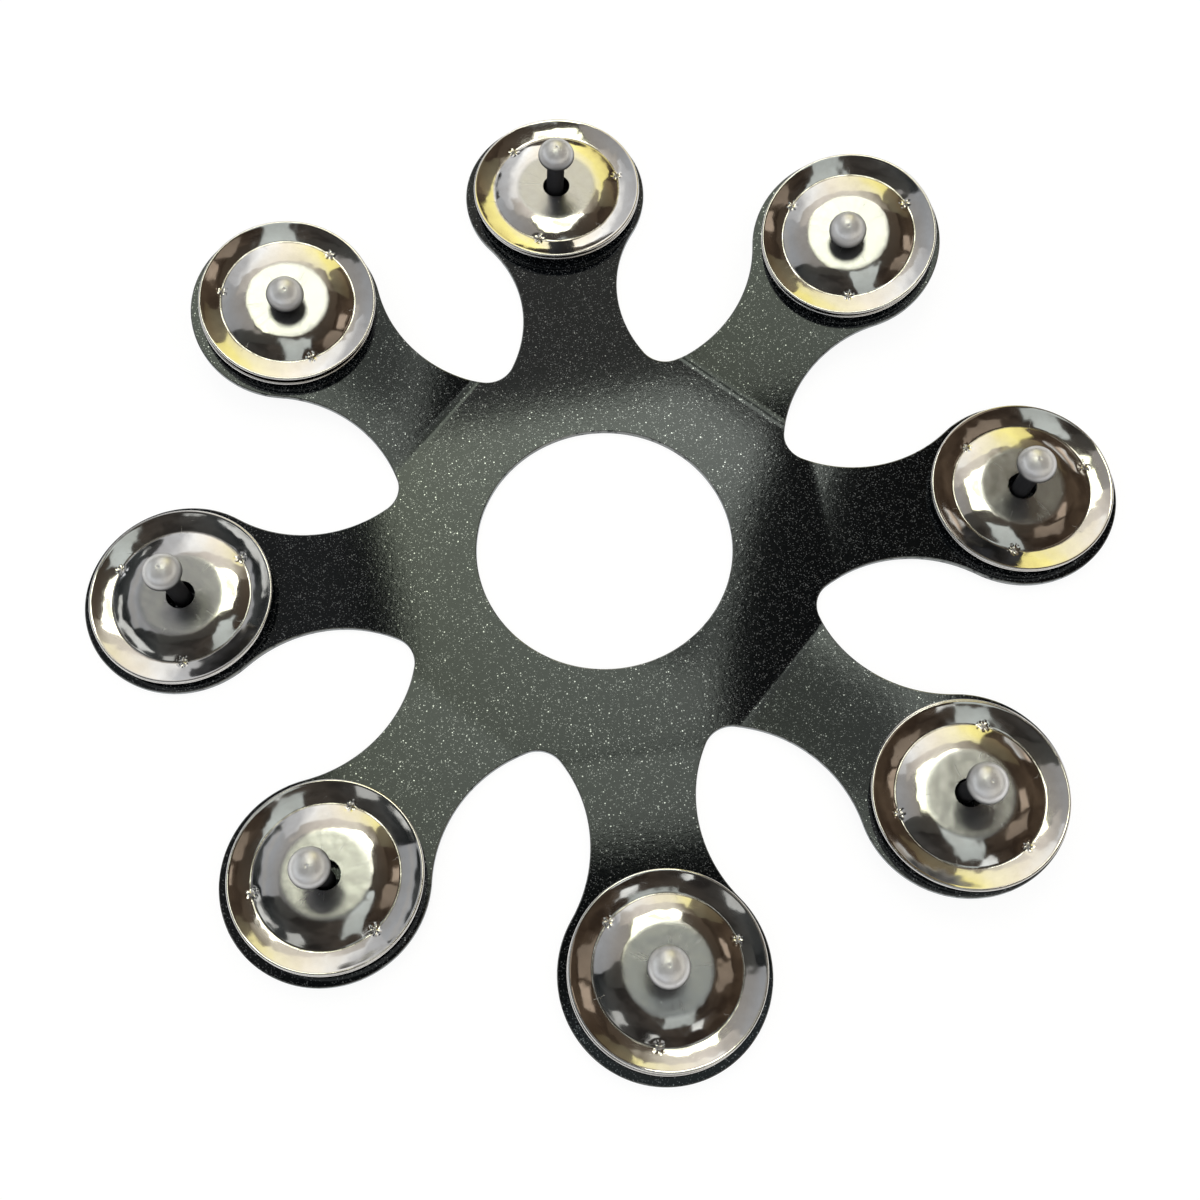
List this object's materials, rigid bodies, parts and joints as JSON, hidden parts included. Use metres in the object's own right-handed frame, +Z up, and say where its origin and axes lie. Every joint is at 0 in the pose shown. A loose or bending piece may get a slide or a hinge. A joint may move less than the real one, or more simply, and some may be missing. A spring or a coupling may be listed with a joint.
{
  "type": "hi-hat tambourine",
  "caption": "Hi-hat tambourine: black star-shaped steel plate with a round centre hole and, on each arm, a loose pair of dished bright jingles on a ball-headed pin.",
  "frame": {"origin": "middle of the centre hole, on the underside of the plate", "axes": "+Z up out of the plate's top face, towards the pin heads; +X along the first arm"},
  "size_m": [0.202, 0.202, 0.0217],
  "materials": {
    "plate": "black powder coat with fine silver sparkle, satin",
    "pins": "satin turned steel",
    "jingles": "bright nickel-plated steel with fine brushing"
  },
  "bodies": {
    "frame": {"star_plate": "plate", "jingle_pin_1": "pins", "jingle_pin_2": "pins", "jingle_pin_3": "pins", "jingle_pin_4": "pins", "jingle_pin_5": "pins", "jingle_pin_6": "pins", "jingle_pin_7": "pins", "jingle_pin_8": "pins"},
    "lower_1": {"lower_jingle_1": "jingles"},
    "upper_1": {"upper_jingle_1": "jingles"},
    "lower_2": {"lower_jingle_2": "jingles"},
    "upper_2": {"upper_jingle_2": "jingles"},
    "lower_3": {"lower_jingle_3": "jingles"},
    "upper_3": {"upper_jingle_3": "jingles"},
    "lower_4": {"lower_jingle_4": "jingles"},
    "upper_4": {"upper_jingle_4": "jingles"},
    "lower_5": {"lower_jingle_5": "jingles"},
    "upper_5": {"upper_jingle_5": "jingles"},
    "lower_6": {"lower_jingle_6": "jingles"},
    "upper_6": {"upper_jingle_6": "jingles"},
    "lower_7": {"lower_jingle_7": "jingles"},
    "upper_7": {"upper_jingle_7": "jingles"},
    "lower_8": {"lower_jingle_8": "jingles"},
    "upper_8": {"upper_jingle_8": "jingles"}
  },
  "joints": [
    {"name": "lower_slide_1", "type": "slide", "parent": "frame", "child": "lower_1", "axis": [-0.008, -0.0202, 0.9998], "range_m": [0, 0.0043]},
    {"name": "upper_slide_1", "type": "slide", "parent": "lower_1", "child": "upper_1", "axis": [-0.008, -0.0202, 0.9998], "range_m": [0, 0.0043]},
    {"name": "lower_slide_2", "type": "slide", "parent": "frame", "child": "lower_2", "axis": [-0.123, -0.255, 0.9591], "range_m": [0, 0.00049]},
    {"name": "upper_slide_2", "type": "slide", "parent": "lower_2", "child": "upper_2", "axis": [-0.123, -0.255, 0.9591], "range_m": [0, 0.00049]},
    {"name": "lower_slide_3", "type": "slide", "parent": "frame", "child": "lower_3", "axis": [0.0566, -0.0229, 0.9981], "range_m": [0, 0.00421]},
    {"name": "upper_slide_3", "type": "slide", "parent": "lower_3", "child": "upper_3", "axis": [0.0566, -0.0229, 0.9981], "range_m": [0, 0.00421]},
    {"name": "lower_slide_4", "type": "slide", "parent": "frame", "child": "lower_4", "axis": [0.152, -0.1492, 0.9771], "range_m": [0, 0.00057]},
    {"name": "upper_slide_4", "type": "slide", "parent": "lower_4", "child": "upper_4", "axis": [0.152, -0.1492, 0.9771], "range_m": [0, 0.00057]},
    {"name": "lower_slide_5", "type": "slide", "parent": "frame", "child": "lower_5", "axis": [-0.0109, 0.0088, 0.9999], "range_m": [0, 0.00407]},
    {"name": "upper_slide_5", "type": "slide", "parent": "lower_5", "child": "upper_5", "axis": [-0.0109, 0.0088, 0.9999], "range_m": [0, 0.00407]},
    {"name": "lower_slide_6", "type": "slide", "parent": "frame", "child": "lower_6", "axis": [-0.0197, -0.0197, 0.9996], "range_m": [0, 0.00394]},
    {"name": "upper_slide_6", "type": "slide", "parent": "lower_6", "child": "upper_6", "axis": [-0.0197, -0.0197, 0.9996], "range_m": [0, 0.00394]},
    {"name": "lower_slide_7", "type": "slide", "parent": "frame", "child": "lower_7", "axis": [0.0112, -0.025, 0.9996], "range_m": [0, 0.00406]},
    {"name": "upper_slide_7", "type": "slide", "parent": "lower_7", "child": "upper_7", "axis": [0.0112, -0.025, 0.9996], "range_m": [0, 0.00406]},
    {"name": "lower_slide_8", "type": "slide", "parent": "frame", "child": "lower_8", "axis": [0.0615, -0.1054, 0.9925], "range_m": [0, 0.00392]},
    {"name": "upper_slide_8", "type": "slide", "parent": "lower_8", "child": "upper_8", "axis": [0.0615, -0.1054, 0.9925], "range_m": [0, 0.00392]}
  ]
}
